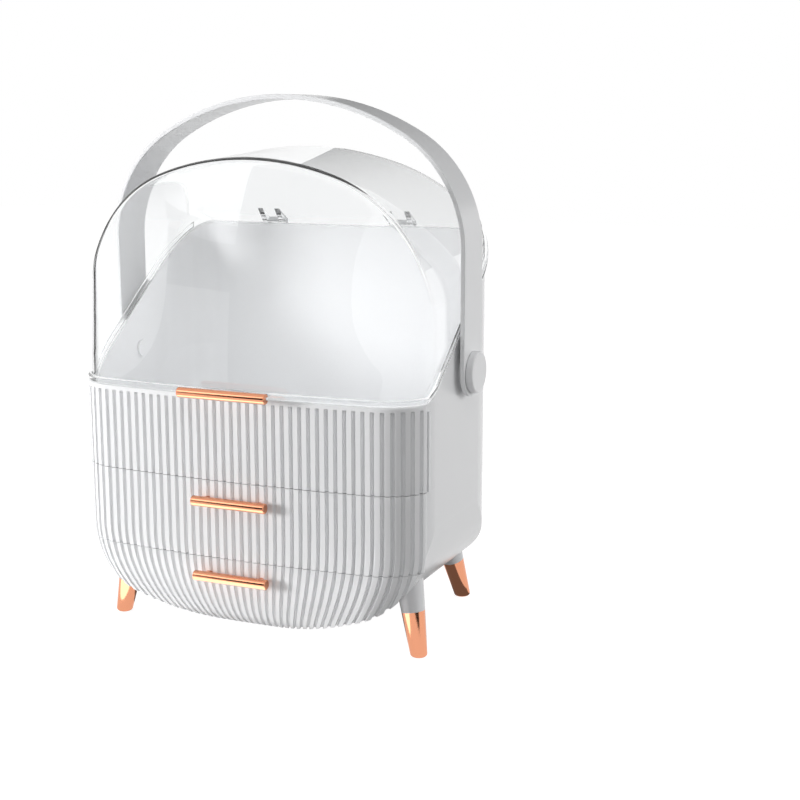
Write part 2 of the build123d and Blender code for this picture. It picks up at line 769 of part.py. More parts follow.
# Carry handle: flat arch strap with rounded ends round the pivots
with BuildPart() as carry_handle:
    with BuildSketch(Plane.XZ.offset(-pivot_y)) as strap:
        for inset, mode in ((0.0, Mode.ADD), (handle_thickness, Mode.SUBTRACT)):
            arch = arch_points(
                handle_half_width - inset,
                handle_crown_z - inset,
                handle_crown_radius - inset,
                handle_shoulder_radius - inset,
            )
            foot = (arch[0][0], pivot_z - handle_width / 2)
            with BuildLine():
                draw_arch(*arch)
                Polyline(arch[0], foot, flip(foot), flip(arch[0]))
            make_face(mode=mode)
    extrude(amount=handle_width / 2, both=True)
    with BuildSketch(across(0)):
        with Locations((pivot_y, pivot_z)):
            Circle(handle_width / 2)
        with Locations((pivot_y, pivot_z + reach / 2)):
            Rectangle(handle_width, reach)
    extrude(amount=reach, both=True, mode=Mode.INTERSECT)
    side_edges = carry_handle.faces().filter_by(Axis.Y).edges()
    long_edges = side_edges.filter_by(lambda edge: edge.length > handle_width)
    fillet(long_edges, radius=handle_edge_radius)
    with BuildSketch(across(0)):
        with Locations((pivot_y, pivot_z)):
            Circle(pivot_pin_radius + shaft_clearance)
    extrude(amount=reach, both=True, mode=Mode.SUBTRACT)
carry_handle.part.label = "carry_handle"
export_step(carry_handle.part, "parts/carry_handle.step")

# Pivot pins, the screws that hold them, and the round caps
with BuildPart() as pivot_pins:
    for side in (-1, 1):
        with BuildSketch(across(side * (half_body - wall))):
            with Locations((pivot_y, pivot_z)):
                Circle(pivot_pin_radius)
                Circle(screw_radius + shaft_clearance, mode=Mode.SUBTRACT)
        extrude(amount=side * (cap_inner_x + pivot_pin_grip - half_body + wall))
pivot_pins.part.label = "pivot_pins"
export_step(pivot_pins.part, "parts/pivot_pins.step")

with BuildPart() as pivot_screws:
    for side in (-1, 1):
        head_x = half_body - wall - fit_gap
        with BuildSketch(across(side * head_x)):
            with Locations((pivot_y, pivot_z)):
                Circle(screw_radius)
        extrude(amount=side * (cap_inner_x + pivot_pin_grip + screw_radius - head_x))
        with BuildSketch(across(side * head_x)):
            with Locations((pivot_y, pivot_z)):
                Circle(pivot_pin_radius + screw_radius)
        extrude(amount=-side * screw_head_height)
pivot_screws.part.label = "pivot_screws"
export_step(pivot_screws.part, "parts/pivot_screws.step")

for name, side in (("left", -1), ("right", 1)):
    with BuildPart() as pivot_cap:
        with BuildSketch(across(side * cap_inner_x)):
            with Locations((pivot_y, pivot_z)):
                Circle(cap_radius)
        extrude(amount=side * cap_thickness)
        outer_face = pivot_cap.faces().filter_by(Axis.X).sort_by(Axis.X)[-1 if side > 0 else 0]
        fillet(outer_face.edges(), radius=cap_edge_radius)
        with BuildSketch(across(side * cap_inner_x)):
            with Locations((pivot_y, pivot_z)):
                Circle(pivot_pin_radius + shaft_clearance)
        extrude(amount=side * (pivot_pin_grip + shaft_clearance), mode=Mode.SUBTRACT)
        with BuildSketch(across(side * cap_inner_x)):
            with Locations((pivot_y, pivot_z)):
                Circle(screw_radius + shaft_clearance)
        extrude(amount=side * (pivot_pin_grip + screw_radius + shaft_clearance), mode=Mode.SUBTRACT)
    pivot_cap.part.label = f"pivot_cap_{name}"
    export_step(pivot_cap.part, f"parts/pivot_cap_{name}.step")
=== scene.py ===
"""Makeup organizer: finishes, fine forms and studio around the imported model.

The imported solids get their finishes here. The clear hood is modelled again, with rounded creases,
in the place of its solid, and fluted skins lie over the ribs of the three front pieces.
"""

import json
import logging
import math
from collections.abc import Iterator
from contextlib import contextmanager
from dataclasses import dataclass
from enum import Enum

import bpy
from mathutils import Matrix, Vector

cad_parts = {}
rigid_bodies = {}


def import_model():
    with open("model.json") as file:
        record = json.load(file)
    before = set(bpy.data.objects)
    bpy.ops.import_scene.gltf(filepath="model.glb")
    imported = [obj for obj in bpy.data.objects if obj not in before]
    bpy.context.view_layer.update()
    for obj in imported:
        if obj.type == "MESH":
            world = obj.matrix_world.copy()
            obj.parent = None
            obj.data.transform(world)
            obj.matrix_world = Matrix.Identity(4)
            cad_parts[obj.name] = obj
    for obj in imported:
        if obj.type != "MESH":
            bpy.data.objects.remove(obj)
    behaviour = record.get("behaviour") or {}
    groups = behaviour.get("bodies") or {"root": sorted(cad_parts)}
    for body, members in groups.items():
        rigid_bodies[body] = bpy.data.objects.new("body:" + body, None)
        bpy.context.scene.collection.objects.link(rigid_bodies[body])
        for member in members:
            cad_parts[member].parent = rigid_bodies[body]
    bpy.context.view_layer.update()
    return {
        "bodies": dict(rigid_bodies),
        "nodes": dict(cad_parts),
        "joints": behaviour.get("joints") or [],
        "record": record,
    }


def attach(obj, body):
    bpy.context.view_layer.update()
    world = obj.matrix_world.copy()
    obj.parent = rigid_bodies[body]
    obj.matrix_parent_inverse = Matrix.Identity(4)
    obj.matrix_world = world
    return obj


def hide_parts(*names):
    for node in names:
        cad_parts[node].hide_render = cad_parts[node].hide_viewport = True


LOG = logging.getLogger("makeup_organizer")
MM = 0.001
MERGE_DISTANCE = 0.02 * MM
HAIR = 1e-6
TINY = 1e-9
QUARTER = math.pi / 2


class Slot(Enum):
    """Material slots of the record."""

    WHITE = "white_plastic"
    CLEAR = "clear_acrylic"
    GOLD = "rose_gold"
    STEEL = "steel"


class NodeGraph:
    """The node tree of a material or a world, with short ways to add and join its nodes."""

    def __init__(self, owner: bpy.types.Material | bpy.types.World) -> None:
        """Empty the owner's tree and give it an output.

        Args:
            owner: The new material or world.
        """
        kind = "World" if isinstance(owner, bpy.types.World) else "Material"
        self.owner = owner
        owner.use_nodes = True
        self.tree = owner.node_tree
        self.tree.nodes.clear()
        self.output = self.tree.nodes.new(f"ShaderNodeOutput{kind}")

    @classmethod
    def for_material(cls, name: str) -> "NodeGraph":
        """Start the tree of a new material."""
        return cls(bpy.data.materials.new(name))

    def add(self, kind: str, **values: object) -> bpy.types.Node:
        """Add a node and set its properties or plain inputs.

        Args:
            kind: The node's type, such as ShaderNodeBsdfPrincipled.
            values: Properties by name, or inputs by name with spaces written as underscores.

        Returns:
            The new node.
        """
        node = self.tree.nodes.new(kind)
        for name, value in values.items():
            if hasattr(node, name):
                setattr(node, name, value)
            else:
                node.inputs[name.replace("_", " ")].default_value = value
        return node

    def join(self, source: bpy.types.NodeSocket, target: bpy.types.NodeSocket) -> None:
        """Link an output to an input."""
        self.tree.links.new(source, target)

    def show(self, shader: bpy.types.Node) -> bpy.types.Material | bpy.types.World:
        """Send a shader to the output.

        Args:
            shader: The last node.

        Returns:
            The finished material or world.
        """
        self.join(shader.outputs[0], self.output.inputs["Surface"])
        return self.owner

    def count(
        self, operation: str, *values: bpy.types.NodeSocket | float, clamp: bool = False
    ) -> bpy.types.NodeSocket:
        """Add a math node.

        Args:
            operation: Blender's name of the operation.
            values: Outputs of other nodes, or plain numbers.
            clamp: Whether the result is kept between 0 and 1.

        Returns:
            The result.
        """
        node = self.add("ShaderNodeMath", operation=operation, use_clamp=clamp)
        for place, value in zip(node.inputs, values):
            if isinstance(value, bpy.types.NodeSocket):
                self.join(value, place)
            else:
                place.default_value = value
        return node.outputs["Value"]

    def noise(self, scale: float, detail: float = 3.0) -> bpy.types.NodeSocket:
        """Add noise that lies still on the piece.

        Args:
            scale: Grains in a metre.
            detail: How many finer layers the noise has.

        Returns:
            The noise's plain value.
        """
        place = self.add("ShaderNodeTexCoord")
        noise = self.add("ShaderNodeTexNoise", Scale=scale, Detail=detail)
        self.join(place.outputs["Object"], noise.inputs["Vector"])
        return noise.outputs["Fac"]

    def vary(
        self, source: bpy.types.NodeSocket, middle: float, reach: float
    ) -> bpy.types.NodeSocket:
        """Map a value from 0 to 1 onto a range around a middle.

        Args:
            source: The value.
            middle: The middle of the range.
            reach: How far the range goes to each side.

        Returns:
            The mapped value.
        """
        mapping = self.add("ShaderNodeMapRange")
        mapping.inputs["To Min"].default_value = middle - reach
        mapping.inputs["To Max"].default_value = middle + reach
        self.join(source, mapping.inputs["Value"])
        return mapping.outputs["Result"]

    def bump(self, source: bpy.types.NodeSocket, depth: float) -> bpy.types.NodeSocket:
        """Turn a value into a bump.

        Args:
            source: The height, from 0 to 1.
            depth: The bump's depth in metres.

        Returns:
            The bent normal.
        """
        bump = self.add("ShaderNodeBump", Distance=depth)
        self.join(source, bump.inputs["Height"])
        return bump.outputs["Normal"]


@dataclass(frozen=True)
class Plastic:
    """Smooth moulded plastic with a soft gloss."""

    name: str
    colour: tuple[float, float, float]
    bend: float = 1.5
    roughness: float = 0.26
    roughness_spread: float = 0.025
    tint_spread: float = 0.006
    grain: float = 900.0
    grain_depth: float = 0.000006
    flow: float = 9.0

    def build(self) -> bpy.types.Material:
        """Make the material: a faint moulding flow in colour and gloss, and a fine skin.

        Returns:
            The material.
        """
        graph = NodeGraph.for_material(self.name)
        shader = graph.add("ShaderNodeBsdfPrincipled", IOR=self.bend)
        flow = graph.noise(self.flow)
        tint = graph.add("ShaderNodeMix", data_type="RGBA")
        tint.inputs["A"].default_value = (*self.colour, 1)
        tint.inputs["B"].default_value = (*(part - self.tint_spread for part in self.colour), 1)
        graph.join(flow, tint.inputs["Factor"])
        graph.join(tint.outputs["Result"], shader.inputs["Base Color"])
        gloss = graph.vary(flow, self.roughness, self.roughness_spread)
        graph.join(gloss, shader.inputs["Roughness"])
        skin = graph.bump(graph.noise(self.grain), self.grain_depth)
        graph.join(skin, shader.inputs["Normal"])
        return graph.show(shader)


@dataclass(frozen=True)
class Acrylic:
    """Clear polished acrylic that lets the lamps through."""

    name: str
    colour: tuple[float, float, float]
    bend: float = 1.49
    roughness: float = 0.02
    passing: float = 0.70
    waviness: float = 16.0
    wave_depth: float = 0.00006

    def build(self) -> bpy.types.Material:
        """Make the material: clear, with the faint waves of a moulded sheet.

        Returns:
            The material.
        """
        graph = NodeGraph.for_material(self.name)
        shader = graph.add("ShaderNodeBsdfPrincipled", IOR=self.bend, Roughness=self.roughness)
        shader.inputs["Base Color"].default_value = (*self.colour, 1)
        shader.inputs["Transmission Weight"].default_value = 1.0
        waves = graph.bump(graph.noise(self.waviness), self.wave_depth)
        graph.join(waves, shader.inputs["Normal"])
        through = graph.add("ShaderNodeBsdfTransparent", Color=(*[self.passing] * 3, 1))
        rays = graph.add("ShaderNodeLightPath")
        mix = graph.add("ShaderNodeMixShader")
        graph.join(rays.outputs["Is Shadow Ray"], mix.inputs["Fac"])
        graph.join(shader.outputs["BSDF"], mix.inputs[1])
        graph.join(through.outputs["BSDF"], mix.inputs[2])
        return graph.show(mix)


@dataclass(frozen=True)
class Metal:
    """Plated or plain metal."""

    name: str
    colour: tuple[float, float, float]
    roughness: float
    roughness_spread: float = 0.04
    grain: float = 700.0
    grain_depth: float = 0.000008

    def build(self) -> bpy.types.Material:
        """Make the material: a mirror with the faint unevenness of its plating.

        Returns:
            The material.
        """
        graph = NodeGraph.for_material(self.name)
        shader = graph.add("ShaderNodeBsdfPrincipled", Metallic=1.0)
        shader.inputs["Base Color"].default_value = (*self.colour, 1)
        noise = graph.noise(self.grain)
        gloss = graph.vary(noise, self.roughness, self.roughness_spread)
        graph.join(gloss, shader.inputs["Roughness"])
        graph.join(graph.bump(noise, self.grain_depth), shader.inputs["Normal"])
        return graph.show(shader)


FINISHES: dict[Slot, Plastic | Acrylic | Metal] = {
    Slot.WHITE: Plastic("white_plastic", (0.855, 0.86, 0.87)),
    Slot.CLEAR: Acrylic("clear_acrylic", (0.985, 0.99, 0.992)),
    Slot.GOLD: Metal("rose_gold", (0.77, 0.33, 0.19), roughness=0.12, roughness_spread=0.02),
    Slot.STEEL: Metal("steel", (0.6, 0.61, 0.63), roughness=0.35),
}


def paint(piece: bpy.types.Object, material: bpy.types.Material) -> None:
    """Give a piece one material all over.

    Args:
        piece: The mesh object.
        material: What its faces take.
    """
    if piece.material_slots:
        for place in piece.material_slots:
            place.material = material
    else:
        piece.data.materials.append(material)


class Wardrobe:
    """Every finish, made once, for whatever is dressed in it."""

    def __init__(self) -> None:
        """Make the material of each slot."""
        self.materials = {slot: finish.build() for slot, finish in FINISHES.items()}

    def dress(self, piece: bpy.types.Object, slot: Slot) -> None:
        """Give a piece the finish of a slot."""
        paint(piece, self.materials[slot])

    def dress_packed(self, frame: dict) -> list[bpy.types.Object]:
        """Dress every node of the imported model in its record's slot.


        Returns:
            The dressed nodes.
        """
        pieces = []
        for part in frame["record"]["subparts"]:
            pieces.append(frame["nodes"][part["node"]])
            self.dress(pieces[-1], Slot(part["material_slot"]))
        return pieces


def pick(pieces: list[bpy.types.Object]) -> None:
    """Select some pieces alone and make the first one active.

    Args:
        pieces: The pieces.
    """
    bpy.ops.object.select_all(action="DESELECT")
    for piece in pieces:
        piece.select_set(True)
    bpy.context.view_layer.objects.active = pieces[0]


@contextmanager
def editing(piece: bpy.types.Object) -> Iterator[None]:
    """Hold a piece in edit mode, with all of it selected.

    Args:
        piece: The piece.

    Yields:
        Nothing.
    """
    pick([piece])
    bpy.ops.object.mode_set(mode="EDIT")
    bpy.ops.mesh.select_all(action="SELECT")
    yield
    bpy.ops.object.mode_set(mode="OBJECT")


def merge(piece: bpy.types.Object) -> None:
    """Merge the vertices of a piece that lie together."""
    with editing(piece):
        bpy.ops.mesh.remove_doubles(threshold=MERGE_DISTANCE)


def lay_grid(name: str, rows: list[list[Vector]]) -> bpy.types.Object:
    """Add a grid and lay it on a form, vertex by vertex.

    Args:
        name: The piece's name.
        rows: The place of each vertex in millimetres, row by row.

    Returns:
        The new piece, its double vertices merged.
    """
    bpy.ops.object.select_all(action="DESELECT")
    across, along_it = len(rows[0]) - 1, len(rows) - 1
    bpy.ops.mesh.primitive_grid_add(x_subdivisions=across, y_subdivisions=along_it, size=1.0)
    piece = bpy.context.object
    piece.name = name
    points = [point for row in rows for point in row]
    for vertex, point in zip(piece.data.vertices, points):
        vertex.co = point * MM
    merge(piece)
    return piece


def thicken(piece: bpy.types.Object, thickness: float) -> None:
    """Give a skin its wall, on the side away from its normals.

    Args:
        piece: The skin.
        thickness: The wall's thickness in millimetres.
    """
    bpy.context.view_layer.objects.active = piece
    wall = piece.modifiers.new("wall", "SOLIDIFY")
    wall.thickness = thickness * MM
    wall.offset = -1.0
    bpy.ops.object.modifier_apply(modifier=wall.name)


def join(pieces: list[bpy.types.Object]) -> bpy.types.Object:
    """Join pieces into the first one.

    Args:
        pieces: The pieces, the one that stays first.

    Returns:
        The joined piece.
    """
    pick(pieces)
    bpy.ops.object.join()
    return pieces[0]


def soften(piece: bpy.types.Object, angle: float) -> None:
    """Shade a piece smooth, but for edges sharper than an angle.

    Args:
        piece: The piece.
        angle: The angle in degrees.
    """
    pick([piece])
    bpy.ops.object.shade_smooth_by_angle(angle=math.radians(angle))


def running_lengths(points: list[Vector]) -> list[float]:
    """Measure a line from its first point to each of its points.

    Args:
        points: The line's points.

    Returns:
        The length up to each point.
    """
    marks = [0.0]
    for before, after in zip(points, points[1:]):
        marks.append(marks[-1] + (after - before).length)
    return marks


def even_line(points: list[Vector], marks: list[float], count: int) -> list[Vector]:
    """Divide a line into equal lengths.

    Args:
        points: The line's points.
        marks: The length up to each point.
        count: How many lengths.

    Returns:
        The new points.
    """
    even, spot = [], 0
    for index in range(count + 1):
        mark = marks[-1] * index / count
        while spot < len(marks) - 2 and marks[spot + 1] < mark:
            spot += 1
        part = (mark - marks[spot]) / max(TINY, marks[spot + 1] - marks[spot])
        even.append(points[spot].lerp(points[spot + 1], min(1.0, part)))
    return even


def along(line: list[Vector], share: float) -> Vector:
    """Find the point of an even line at a share of its length.

    Args:
        line: Points at equal distances.
        share: From 0 at its start to 1 at its end.

    Returns:
        The point.
    """
    count = len(line) - 1
    place = min(count - HAIR, max(0.0, share * count))
    return line[int(place)].lerp(line[int(place) + 1], place - int(place))


def mirrored(line: list[Vector]) -> list[Vector]:
    """Mirror a line from one side to the other."""
    return [Vector((-point.x, point.y, point.z)) for point in line]


def both_halves(lines: list[list[Vector]]) -> list[list[Vector]]:
    """Follow lines that run from the right to the middle by their mirror images."""
    return lines + [mirrored(line) for line in reversed(lines[:-1])]


@dataclass(frozen=True)
class FrontForm:
    """The bowed front of the body: a flat-looking middle between two round corners. Millimetres."""

    half_width: float = 140.0
    side_front: float = -58.0
    depth: float = 41.0
    corner_radius: float = 36.0
    bow: float = 29.0
    bottom_bow: float = 5.0
    bow_fade: float = 65.0
    belly: float = 16.0
    belly_radius: float = 274.0
    belly_corner_radius: float = 69.0
    draw_in: float = 0.28
    ribs: int = 44
    probe: float = 0.05
    foot_reach: float = 3.0
    foot_rounds: int = 24

    @property
    def corner_x(self) -> float:
        """Centre of the round corner, across the front."""
        return self.half_width - self.corner_radius

    @property
    def corner_bow(self) -> float:
        """Depth of the corner ahead of the flat sides' start."""
        return self.depth - self.bow

    @property
    def middle_radius(self) -> float:
        """Radius of the nearly flat middle."""
        top = self.depth**2 - self.corner_radius**2 + self.corner_x**2
        return top / (2 * (self.depth - self.corner_radius))

    @property
    def middle_turn(self) -> float:
        """Angle of the middle arc, from its middle to the corner's joint."""
        return math.asin(self.corner_x / (self.middle_radius - self.corner_radius))

    @property
    def middle_length(self) -> float:
        """Length of the middle arc, from its middle to the corner's joint."""
        return self.middle_radius * self.middle_turn

    @property
    def side_length(self) -> float:
        """Length of the front's curve from its middle to the side's front edge."""
        turn = QUARTER - self.middle_turn - math.asin(self.corner_bow / self.corner_radius)
        return self.middle_length + self.corner_radius * turn

    @property
    def full_length(self) -> float:
        """Length of the front's curve from its middle to the end of the round corner."""
        return self.middle_length + self.corner_radius * (QUARTER - self.middle_turn)

    def across(self, length: float) -> float:
        """Find the place across the front at a length along its curve.

        Args:
            length: Length from the middle, negative to the left.

        Returns:
            The place across.
        """
        run = abs(length)
        if run < self.middle_length:
            return math.copysign(self.middle_radius * math.sin(run / self.middle_radius), length)
        angle = self.middle_turn + (run - self.middle_length) / self.corner_radius
        return math.copysign(self.corner_x + self.corner_radius * math.sin(angle), length)

    def spread(self, height: float) -> float:
        """Tell how far the ribs spread at a height, as a share of the full width."""
        drop = (self.belly + self.belly_corner_radius - height) / self.belly_corner_radius
        return 1 - self.draw_in * max(0.0, drop) ** 2

    def bulge(self, height: float) -> float:
        """Tell the front's bulge at a height, drawn back in a quarter ellipse at the foot."""
        fade = min(1.0, max(0.0, (self.bow_fade - height) / (self.bow_fade - self.belly)))
        return self.bottom_bow + (self.bow - self.bottom_bow) * math.sqrt(1 - fade**2)

    def point(self, length: float, height: float) -> Vector:
        """Find a point of the smooth front.

        Args:
            length: Length along the front's curve from its middle.
            height: The point's height.

        Returns:
            The point.
        """
        full_x = self.across(length)
        reach = abs(full_x)
        if reach < self.middle_radius * math.sin(self.middle_turn):
            depth = self.depth - self.middle_radius + math.sqrt(self.middle_radius**2 - reach**2)
        else:
            depth = math.sqrt(max(0.0, self.corner_radius**2 - (reach - self.corner_x) ** 2))
        y = self.side_front - self.bulge(height) * (depth - self.corner_bow) / self.bow
        return Vector((full_x * self.spread(height), y, height))

    def normal(self, length: float, height: float) -> Vector:
        """Find the outward normal of the smooth front.

        Args:
            length: Length along the front's curve from its middle.
            height: The point's height.

        Returns:
            The normal.
        """
        step = self.probe
        side = self.point(length + step, height) - self.point(length - step, height)
        climb = self.point(length, height + step) - self.point(length, height - step)
        return side.cross(climb).normalized()

    def underside(self, x: float) -> float:
        """Find the height of the body's underside.

        Args:
            x: Place across the front.

        Returns:
            The height.
        """
        span = self.belly_radius - self.belly_corner_radius
        centre = self.half_width - self.belly_corner_radius
        if abs(x) < self.belly_radius * centre / span:
            return self.belly + self.belly_radius - math.sqrt(self.belly_radius**2 - x**2)
        turn = max(0.0, self.belly_corner_radius**2 - (abs(x) - centre) ** 2)
        middle = self.belly + self.belly_radius - math.sqrt(span**2 - centre**2)
        return middle - math.sqrt(turn)

    def foot(self, length: float, high: float) -> float:
        """Find the height at which a rib runs off the body's underside.

        Args:
            length: The rib's place along the front's curve.
            high: A height above that foot.

        Returns:
            The foot's height.
        """
        low = self.belly - self.foot_reach
        for _ in range(self.foot_rounds):
            middle = (low + high) / 2
            if middle > self.underside(self.point(length, middle).x):
                high = middle
            else:
                low = middle
        return high


@dataclass
class FlutedSkins:
    """Fluted skins of the tub's front band and of the two drawer fronts. Millimetres."""

    wardrobe: Wardrobe
    form: FrontForm = FrontForm()
    stand: float = 2.5
    tuck: float = 0.1
    least_stand: float = 0.01
    flute_share: float = 0.24
    flute_depth: float = 2.35
    flute_power: float = 0.6
    flute_steps: tuple[float, ...] = (-1, -0.93, -0.78, -0.52, -0.26, 0, 0.26, 0.52, 0.78, 0.93, 1)
    beside_flute: float = 1.15
    end_columns: int = 8
    corner_columns: int = 6
    edge_radius: float = 0.5
    edge_share: float = 0.6
    edge_steps: tuple[float, ...] = (0.0, 0.06, 0.2, 0.5)
    top_steps: tuple[float, ...] = (1.0, 0.9, 0.72, 0.45, 0.2, 0.0)
    skin: float = 0.5
    smooth_angle: float = 38.0
    band_rows: int = 6
    rim_steps: tuple[tuple[float, float], ...] = (
        (1.8, 0.0), (1.2, 0.0), (0.6, 0.12), (0.25, 0.4), (0.08, 0.8), (0.05, 9.0),
    )
    rim_sunk: float = -0.4
    sill: float = 0.7655
    drawer_rows: int = 12
    foot_rows: int = 40
    foot_gap: float = 0.05
    foot_probe: float = 0.3
    slope_probe: float = 0.1
    lip_rows: int = 5
    lip_run: float = 2.5
    lip_sunk: float = 0.1
    lip_curl: float = 0.8

    @property
    def pitch(self) -> float:
        """Distance from flute to flute along the front's curve."""
        return 2 * self.form.side_length / self.form.ribs

    def lengths(self, last: float) -> list[float]:
        """Place the skin's columns along the front's curve.

        Args:
            last: Where the skin ends, to the right and to the left.

        Returns:
            The places, from left to right.
        """
        half = self.flute_share * self.pitch
        beside = self.beside_flute * half
        side = self.form.side_length
        places = [self.pitch / 2 - side]
        for rib in range(1, self.form.ribs):
            middle = rib * self.pitch - side
            places += [middle + step * half for step in self.flute_steps]
            places += [middle - beside, middle + beside, middle + self.pitch / 2]
        start = side - self.pitch / 2
        for step in range(1, self.end_columns + 1):
            place = start + step / self.end_columns * self.pitch / 2
            places += [-place, place]
        if last > side:
            for step in range(1, self.corner_columns + 1):
                place = side + step / self.corner_columns * (last - side)
                places += [-place, place]
        return sorted(places)

    def crest(self, length: float) -> float:
        """Tell how far the skin stands ahead of the smooth front between its flutes.

        Args:
            length: Place along the front's curve.

        Returns:
            The distance.
        """
        side = self.form.side_length
        start = side - self.pitch / 2
        share = min(1.0, max(0.0, (abs(length) - start) / (self.pitch / 2)))
        past = max(0.0, abs(length) - side)
        rest = self.tuck * (1 - past / (self.form.full_length - side))
        return max(self.least_stand, rest) + (self.stand - self.tuck) * (1 - share**2)

    def flute(self, length: float, over: float = 0.0) -> float:
        """Tell the depth of the flutes.

        Args:
            length: Place along the front's curve.
            over: Height over the start of a flute's round end, as a share of that end.

        Returns:
            The depth below the crest.
        """
        place = (length + self.form.side_length) / self.pitch
        nearest = min(self.form.ribs - 1, max(1, round(place)))
        across = (place - nearest) / self.flute_share
        room = 1 - across**2 - max(0.0, over) ** 2
        return self.flute_depth * room**self.flute_power if room > 0 else 0.0

    def cut(self, distance: float) -> float:
        """Tell how much an edge's rounding takes off at a distance from that edge."""
        near = max(0.0, 1 - distance / self.edge_radius)
        return self.edge_share * self.edge_radius * (1 - math.sqrt(1 - near**2))

    def lay(self, length: float, height: float, relief: float) -> Vector:
        """Find a point of the skin.

        Args:
            length: Place along the front's curve.
            height: The point's height.
            relief: How far it stands ahead of the smooth front, less where the ribs draw in.

        Returns:
            The point.
        """
        step = self.form.probe
        right, left = self.form.point(length + step, height), self.form.point(length - step, height)
        scale = min(1.0, (right - left).length / (2 * step))
        return self.form.point(length, height) + self.form.normal(length, height) * relief * scale

    def fluted(self, length: float, height: float, cut: float = 0.0, over: float = 0.0) -> Vector:
        """Find a point of the fluted skin, less what an edge's rounding cuts off there."""
        return self.lay(length, height, self.crest(length) - cut - self.flute(length, over))

    def rim_point(self, length: float, height: float, cut: float) -> Vector:
        """Find a point of the tub's rounded rim, which climbs where the front turns back.

        Args:
            length: Place along the front's curve.
            height: The point's height in the middle of the front.
            cut: What the rounding cuts off there.

        Returns:
            The point.
        """
        behind = max(0.0, self.form.point(length, height).y - self.form.side_front)
        spot = self.lay(length, height, max(self.rim_sunk, self.crest(length) - cut))
        return spot + Vector((0, 0, behind * self.sill))

    def finish(self, piece: bpy.types.Object, body: str) -> bpy.types.Object:
        """Give a skin its wall, shade and dress it, and hang it on its body.

        Args:
            piece: The skin.
            body: The body that it rides on.

        Returns:
            The skin.
        """
        thicken(piece, self.skin)
        soften(piece, self.smooth_angle)
        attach(piece, body)
        self.wardrobe.dress(piece, Slot.WHITE)
        return piece

    def tub_band(
        self, low: float = 128.5, top: float = 188.0, rim: float = 191.0
    ) -> bpy.types.Object:
        """Lay the tub's skin: flutes with round tops below a smooth band and a rounded rim.

        Args:
            low: Height of the seam under the band.
            top: Height of the flutes' round tops.
            rim: Height of the rim.

        Returns:
            The skin.
        """
        lengths = self.lengths(self.form.full_length)
        end = self.flute_share * self.pitch
        start, straight = low + self.edge_radius, top - end - low - self.edge_radius
        heights = [low + step for step in self.edge_steps]
        heights += [start + straight * step / self.band_rows for step in range(1, self.band_rows)]
        heights += [top - end * step for step in self.top_steps]
        rows = []
        for height in heights:
            cut, over = self.cut(height - low), (height - (top - end)) / end
            rows.append([self.fluted(length, height, cut, over) for length in lengths])
        for drop, cut in self.rim_steps:
            rows.append([self.rim_point(length, rim - drop, cut) for length in lengths])
        return self.finish(lay_grid("tub_flutes", rows), "case")

    def upper_drawer(self, low: float = 70.25, high: float = 128.0) -> bpy.types.Object:
        """Lay the upper drawer's skin: flutes that run off both of its edges.

        Args:
            low: Height of its lower edge.
            high: Height of its upper edge.

        Returns:
            The skin.
        """
        lengths = self.lengths(self.form.side_length)
        start, inner = low + self.edge_radius, high - low - 2 * self.edge_radius
        heights = [low + step for step in self.edge_steps]
        heights += [start + inner * step / self.drawer_rows for step in range(1, self.drawer_rows)]
        heights += [high - step for step in reversed(self.edge_steps)]
        rows = []
        for height in heights:
            cut = self.cut(min(height - low, high - height))
            rows.append([self.fluted(length, height, cut) for length in lengths])
        return self.finish(lay_grid("drawer_1_flutes", rows), "drawer_1")

    def foot_lip(self, length: float, foot: float, step: float) -> Vector:
        """Find a point of the rounded lip that ends the lower drawer's skin.

        Args:
            length: Place along the front's curve.
            foot: Height of the skin's foot there.
            step: From 0 at the foot to 1 under the body.

        Returns:
            The point.
        """
        edge = self.fluted(length, foot)
        start = self.form.point(length, foot)
        below = (start - self.form.point(length, foot + self.foot_probe)).normalized()
        right = self.form.underside(start.x + self.slope_probe)
        left = self.form.underside(start.x - self.slope_probe)
        inside = Vector(((right - left) / (2 * self.slope_probe), 0, -1)).normalized()
        end = start + Vector((0, self.lip_run, 0)) + inside * self.lip_sunk
        middle = edge + below * self.lip_curl
        return edge * (1 - step) ** 2 + middle * (2 * step * (1 - step)) + end * step**2

    def lower_drawer(self, high: float = 69.75) -> bpy.types.Object:
        """Lay the lower drawer's skin: flutes that draw in, curl under and end in a rounded lip.

        Args:
            high: Height of its upper edge.

        Returns:
            The skin.
        """
        lengths = self.lengths(self.form.side_length)
        feet = [self.form.foot(length, high) + self.foot_gap for length in lengths]
        rows = []
        for row in range(self.lip_rows):
            step = 1 - row / self.lip_rows
            rows.append([self.foot_lip(*column, step) for column in zip(lengths, feet)])
        for row in range(self.foot_rows + 1):
            share = 1 - math.cos(QUARTER * (row / self.foot_rows))
            heights = [min(high, foot + (high - foot) * share) for foot in feet]
            spots = zip(lengths, heights)
            rows.append([self.fluted(*spot, self.cut(high - spot[1])) for spot in spots])
        return self.finish(lay_grid("drawer_2_flutes", rows), "drawer_2")

    def build(self) -> list[bpy.types.Object]:
        """Lay all three skins."""
        return [self.tub_band(), self.upper_drawer(), self.lower_drawer()]


